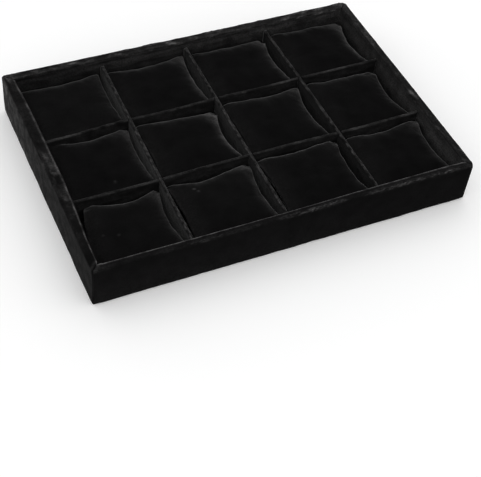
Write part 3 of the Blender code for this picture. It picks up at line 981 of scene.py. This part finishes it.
class Pillow:
    """One pillow: its two panels of cloth, sewn together round the edge."""

    def __init__(self, name, sizes):
        low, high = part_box(name)
        level, rear, right, droop, self.corner_highlight = PILLOWS[name]
        self.name = name
        self.sizes = sizes
        self.middle = (Vector(low) + Vector(high)) / 2
        self.half = np.array((Vector(high) - Vector(low)) / 2)
        self.seed = 50 + list(PILLOWS).index(name)
        self.level = level * MM
        self.rear = [(-1.0, 0.0)] + [(place, pull * MM) for place, pull in zip(REAR_PLACES, rear)]
        self.right = right * MM
        self.droop = droop * MM
        self.tuck = np.array(TUCKED_CORNERS.get(name, (0.0, 0.0))) * MM
        steps = np.linspace(-1.0, 1.0, sizes.panes + 1)
        self.u, self.v = np.meshgrid(steps, steps, indexing="ij")
        self.flat = self.seam(self.u, self.v)

    def seam(self, u, v):
        """Place of the sewn edge, and of the flat panels inside it, for u and v from -1 to 1."""
        to_right, to_rear = (1 + u) / 2, (1 + v) / 2
        right_pull = np.where(u > 0, self.right, SIDE_PULL) * u * (1 - v * v)
        tuck = self.tuck[0] * (1 - to_right) - self.tuck[1] * to_right
        x = self.half[0] * u - right_pull + tuck * to_rear ** 3
        rear_pull = soft_curve(self.rear, u, 14, 161, mode="reflect", reflect_type="odd")
        front_pull = SIDE_PULL * (1 - u * u)
        y = self.half[1] * v - rear_pull * to_rear ** 2 + front_pull * (1 - to_rear) ** 2
        tip = smooth_step(1 - TIP_LENGTH, 1.0, np.abs(u)) * smooth_step(1 - TIP_LENGTH, 1.0, np.abs(v))
        rear_droop = np.where(u > 0, self.droop, REAR_LEFT_DROOP.get(self.name, TIP_DROOP))
        wobble = noise_at(stacked(x / (13 * MM), y / (13 * MM), 0 * x), self.seed)
        ripple = noise_at(stacked(x / (4 * MM), y / (4 * MM), 0 * x), self.seed + 20)
        z = self.level - np.where(v > 0, rear_droop, TIP_DROOP) * tip
        z += (0.8 * wobble + 0.25 * ripple) * MM
        stray = (0.5 * wobble + 0.2 * ripple) * MM
        return x + stray * np.abs(u) ** 3 * (1 - v ** 4), y + stray * np.abs(v) ** 3 * (1 - u ** 4), z

    def key(self, side, i, j):
        """A corner's key: the sewn edge belongs to both panels, so its side is 0."""
        edge = i in (0, self.sizes.panes) or j in (0, self.sizes.panes)
        return (0 if edge else side, i, j)

    def panels(self):
        """Corners and faces of the upper panel (side 1) and the lower one (side -1)."""
        panes = self.sizes.panes
        x, y, z = self.flat
        dome = (1 - self.u ** 4) * (1 - self.v ** 4) * DOME_START
        numbers, verts, faces = {}, [], []
        for side, i, j in product((1, -1), range(panes + 1), range(panes + 1)):
            key = self.key(side, i, j)
            if key not in numbers:
                numbers[key] = len(verts)
                verts.append((x[i, j], y[i, j], z[i, j] + side * dome[i, j]))
        for side, i, j in product((1, -1), range(panes), range(panes)):
            corners = ((i, j), (i + 1, j), (i + 1, j + 1), (i, j + 1))
            faces.append([numbers[self.key(side, *corner)] for corner in corners][::side])
        self.keys = np.array(list(numbers))
        return np.array(verts), faces

    def cloth(self):
        """The panels as an object ready to simulate, at CLOTH_SCALE times their size."""
        verts, self.faces = self.panels()
        self.on_seam = self.keys[:, 0] == 0
        mesh = mesh_of(self.name, verts * CLOTH_SCALE, self.faces)
        item = bpy.data.objects.new(self.name + " cloth", mesh)
        bpy.context.scene.collection.objects.link(item)
        seam = item.vertex_groups.new(name="seam")
        seam.add(np.flatnonzero(self.on_seam).tolist(), 1.0, "REPLACE")
        cloth = item.modifiers.new("Cloth", "CLOTH")
        cloth.settings.use_pressure = True
        cloth.settings.uniform_pressure_force = self.sizes.pressure
        cloth.settings.shrink_min = -self.sizes.spare_cloth
        cloth.settings.vertex_group_mass = "seam"
        cloth.settings.effector_weights.gravity = 0.0
        cloth.collision_settings.use_collision = False
        cloth.point_cache.frame_start = 1
        cloth.point_cache.frame_end = self.sizes.frames
        return item

    def settle(self, verts):
        """Fit the blown-up cloth between the floor and the crown, clear of its neighbours."""
        firm = self.sizes.firmness
        level = self.flat[2][self.keys[:, 1], self.keys[:, 2]]

        def pressed(rise, limit):
            most = np.percentile(rise, 99.5)
            return limit * np.tanh(firm * np.maximum(rise, 0.0) / most) / np.tanh(firm)

        rise = verts[:, 2] - level
        up = pressed(rise, DIVIDER_TOP + self.sizes.crown - self.level)
        down = pressed(-rise, self.level - REST_LEVEL + UNDER_PRESS)
        room = self.half[:2] - 0.1 * MM
        return np.column_stack((np.clip(verts[:, :2], -room, room),
                                np.maximum(level + up - down, REST_LEVEL)))

    def crush_and_painted_light(self, verts):
        """How light the pile is made: painted highlights at the sewn edge, right side and rear right
        tip, painted light, and lint.
        """
        side, i, j = self.keys.T
        u, v = 2 * i / self.sizes.panes - 1, 2 * j / self.sizes.panes - 1
        inward = 1 - np.maximum(np.abs(u), np.abs(v))
        broken = noise_at(stacked(verts[:, 0] / (7 * MM), verts[:, 1] / (7 * MM), 0 * u), self.seed + 40)
        # Painted highlights along the sewn edge, down the right side and at the rear right tip.
        patchy = self.corner_highlight * np.clip(1 + broken, 0.3, 1.6)
        rear = smooth_step(-0.4, 0.05, v - np.abs(u))
        right = smooth_step(-0.2, 0.3, u - np.abs(v))
        seam_highlight = SEAM_HIGHLIGHT * (0.9 + 0.5 * self.corner_highlight) * (0.2 + 0.8 * rear)
        light = seam_highlight * np.clip(0.9 + 1.2 * broken, 0.3, 1.6) * bell(inward, SEAM_REACH, 1)
        light += 0.8 * patchy * right * bell(inward, RIGHT_REACH, 1)
        light += patchy * bell(np.hypot(1 - u, 1 - v), TIP_REACH)
        # Painted light down the left side and over some tops, lifting their shade.
        light += SIDE_PAINTED_LIGHT * (smooth_step(-0.45, -1.0, u) + 0.4 * smooth_step(-0.6, -1.0, v))
        light += TOP_PAINTED_LIGHT.get(self.name, 0.0)
        light *= side >= 0
        x, y = verts[:, 0] + self.middle.x, verts[:, 1] + self.middle.y
        for lint_x, lint_y, amount in LINT.get(self.name, ()):
            away = np.hypot(x - lint_x * MM, y - lint_y * MM)
            light[np.argmin(away + (side != 1))] = amount
        return light

    def add(self, verts, velvet):
        """The finished pillow in its place, with its sewn edge standing out."""
        ridge = self.sizes.seam_ridge
        plan = verts[self.on_seam, :2]
        reach = np.maximum(np.abs(plan / self.half[:2]).max(1), 0.1)[:, None]
        verts[self.on_seam, :2] += ridge * plan / reach / self.half[:2]
        verts[self.on_seam, 2] += 0.5 * ridge
        mesh = mesh_of(self.name, verts + (self.middle.x, self.middle.y, 0.0), self.faces)
        write_mask(mesh, "crush_and_painted_light", self.crush_and_painted_light(verts))
        ends = np.empty(2 * len(mesh.edges), np.int32)
        mesh.edges.foreach_get("vertices", ends)
        write_mask(mesh, "crease_edge", self.on_seam[ends].reshape(-1, 2).all(axis=1), "EDGE")
        piece = add_piece(self.name.replace("pillow", "watch_pillow"), mesh, velvet,
                          self.name)
        smooth = piece.modifiers.new("Smooth", "SUBSURF")
        smooth.levels = 1
        smooth.render_levels = 1


def blow_up(pillows, frames):
    """Simulate all the pillows' cloth together and return their corners, still centred."""
    items = [pillow.cloth() for pillow in pillows]
    scene = bpy.context.scene
    for number in range(1, frames + 1):
        scene.frame_set(number)
    depsgraph = bpy.context.evaluated_depsgraph_get()
    shapes = []
    for item in items:
        mesh = item.evaluated_get(depsgraph).data
        verts = np.empty(len(mesh.vertices) * 3)
        mesh.vertices.foreach_get("co", verts)
        shapes.append(verts.reshape(-1, 3) / CLOTH_SCALE)
    for item in items:
        mesh = item.data
        bpy.data.objects.remove(item, do_unlink=True)
        bpy.data.meshes.remove(mesh)
    scene.frame_set(1)
    return shapes


class TRAY_OT_pillows(bpy.types.Operator):
    """Sew, stuff and place the twelve pillows"""
    bl_idname = "tray.pillows"
    bl_label = "Pillows"

    def execute(self, context):
        sizes = context.scene.tray_pillows
        velvet = velvet_material("pillow velvet", sheen_gain=0.5)
        pillows = [Pillow(name, sizes) for name in PILLOWS]
        shapes = blow_up(pillows, sizes.frames)
        for pillow, verts in zip(pillows, shapes):
            pillow.add(pillow.settle(verts), velvet)
        return {"FINISHED"}


# Boards, lining and underside

class TRAY_OT_boards(bpy.types.Operator):
    """Give the boards, the floor's lining and the sheet below their finishes"""
    bl_idname = "tray.boards"
    bl_label = "Boards and sheets"

    def execute(self, context):
        board, _, _ = new_material(
            "bare fibreboard", fibre_group(),
            {"Colour": (0.42, 0.30, 0.19, 1.0), "Fleck Colour": (0.26, 0.17, 0.10, 1.0),
             "Fibre Scale": 700.0, "Fleck Amount": 0.6}, 0.1 * MM)
        paper, shader, _ = new_material(
            "matt black paper", fibre_group(),
            {"Colour": (0.020, 0.020, 0.021, 1.0), "Fleck Colour": (0.035, 0.034, 0.034, 1.0),
             "Fibre Scale": 1100.0, "Fleck Amount": 0.7}, 0.06 * MM)
        shader.inputs["Specular IOR Level"].default_value = 0.25
        lining = velvet_material("lining velvet", sheen_gain=1.0, crush_and_painted_light=0.2)
        for name in ("base_board", "front_board", "rear_board", "left_board", "right_board"):
            dress(name, board)
        dress("underside_sheet", paper)
        dress("floor_lining", lining)
        return {"FINISHED"}


def dress(name, material):
    """Give a solid of the frame another finish."""
    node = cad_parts[name]
    if not node.material_slots:
        node.data.materials.append(material)
    for holder in node.material_slots:
        holder.link = "OBJECT"
        holder.material = material


# The studio

FLOOR_REACH = 6.0          # half the floor's side, in metres
FLOOR_GLOW = 0.08          # lifts the floor to white where the camera sees it
WHITE = (1.0, 1.0, 1.0, 1.0)


def camera_matrix(studio):
    """Where the camera stands and how it is turned."""
    azimuth, elevation, roll = studio.azimuth, studio.elevation, studio.roll
    back = Vector((sin(azimuth) * cos(elevation), -cos(azimuth) * cos(elevation), sin(elevation)))
    level = Vector((cos(azimuth), sin(azimuth), 0.0))
    upright = back.cross(level)
    right = cos(roll) * level + sin(roll) * upright
    up = cos(roll) * upright - sin(roll) * level
    turned = Matrix((right, up, back)).transposed()
    return Matrix.Translation(studio.camera_place) @ turned.to_4x4()


def seen_directly(tree):
    """1 for what the camera and reflections see, 0 for the light that falls on things."""
    path = tree.nodes.new("ShaderNodeLightPath")
    return add_math(tree, "MAXIMUM", path.outputs["Is Camera Ray"], path.outputs["Is Glossy Ray"])


def floor_material(colour):
    """A pale floor, white to the camera away from the tray's shadow."""
    material = bpy.data.materials.new("floor")
    material.use_nodes = True
    tree = material.node_tree
    shader = tree.nodes["Principled BSDF"]
    shader.inputs["Roughness"].default_value = 0.9
    shader.inputs["Specular IOR Level"].default_value = 0.0
    seen = seen_directly(tree)
    tree.links.new(add_mix(tree, seen, tuple(colour), WHITE), shader.inputs["Base Color"])
    shader.inputs["Emission Color"].default_value = WHITE
    tree.links.new(add_math(tree, "MULTIPLY", seen, FLOOR_GLOW), shader.inputs["Emission Strength"])
    return material


class TRAY_OT_studio(bpy.types.Operator):
    """Lay the floor, light the tray and set up the camera"""
    bl_idname = "tray.studio"
    bl_label = "Studio"

    def execute(self, context):
        scene = context.scene
        studio = scene.tray_studio
        corners = [(FLOOR_REACH * x, FLOOR_REACH * y, 0.0)
                   for x, y in ((-1, -1), (1, -1), (1, 1), (-1, 1))]
        floor = bpy.data.objects.new("floor", mesh_of("floor", corners, [(0, 1, 2, 3)]))
        scene.collection.objects.link(floor)
        floor.data.materials.append(floor_material(studio.floor))

        world = bpy.data.worlds.new("even light")
        world.use_nodes = True
        scene.world = world
        tree = world.node_tree
        sky = tree.nodes["Background"]
        sky.inputs["Color"].default_value = WHITE
        spare = add_math(tree, "MULTIPLY", seen_directly(tree), 1.0 - studio.light)
        tree.links.new(add_math(tree, "ADD", spare, studio.light), sky.inputs["Strength"])

        camera = bpy.data.objects.new("camera", bpy.data.cameras.new("camera"))
        scene.collection.objects.link(camera)
        camera.data.lens = studio.lens
        camera.data.sensor_width = 36.0
        camera.data.clip_start = 0.01
        camera.data.clip_end = 50.0
        camera.matrix_world = camera_matrix(studio)
        scene.camera = camera
        scene.view_settings.view_transform = "Standard"
        return {"FINISHED"}


class TRAY_PT_panel(bpy.types.Panel):
    """Sizes and steps of the display tray"""
    bl_idname = "TRAY_PT_panel"
    bl_label = "Watch display tray"
    bl_space_type = "VIEW_3D"
    bl_region_type = "UI"
    bl_category = "Display tray"

    def draw(self, context):
        for operator, group in STEPS:
            box = self.layout.box()
            box.operator(operator.bl_idname)
            if group is None:
                continue
            values = getattr(context.scene, group)
            for key in values.__annotations__:
                box.prop(values, key)


STEPS = (
    (TRAY_OT_studio, "tray_studio"),
    (TRAY_OT_cover, "tray_cover"),
    (TRAY_OT_dividers, "tray_dividers"),
    (TRAY_OT_pillows, "tray_pillows"),
    (TRAY_OT_boards, "tray_velvet"),
)
GROUPS = {
    "tray_velvet": TrayVelvet,
    "tray_cover": TrayCover,
    "tray_dividers": TrayDividers,
    "tray_pillows": TrayPillows,
    "tray_studio": TrayStudio,
}


def register():
    """Add the tray's values, steps and panel to Blender."""
    for name, group in GROUPS.items():
        bpy.utils.register_class(group)
        setattr(bpy.types.Scene, name, PointerProperty(type=group))
    for operator, _ in STEPS:
        bpy.utils.register_class(operator)
    bpy.utils.register_class(TRAY_PT_panel)


def unregister():
    """Take them out again."""
    bpy.utils.unregister_class(TRAY_PT_panel)
    for operator, _ in reversed(STEPS):
        bpy.utils.unregister_class(operator)
    for name, group in reversed(GROUPS.items()):
        delattr(bpy.types.Scene, name)
        bpy.utils.unregister_class(group)


def main():
    """Build the tray step by step."""
    register()
    bpy.ops.tray.studio()
    bpy.ops.tray.cover()
    bpy.ops.tray.dividers()
    bpy.ops.tray.pillows()
    bpy.ops.tray.boards()


if __name__ == "__main__":
    main()
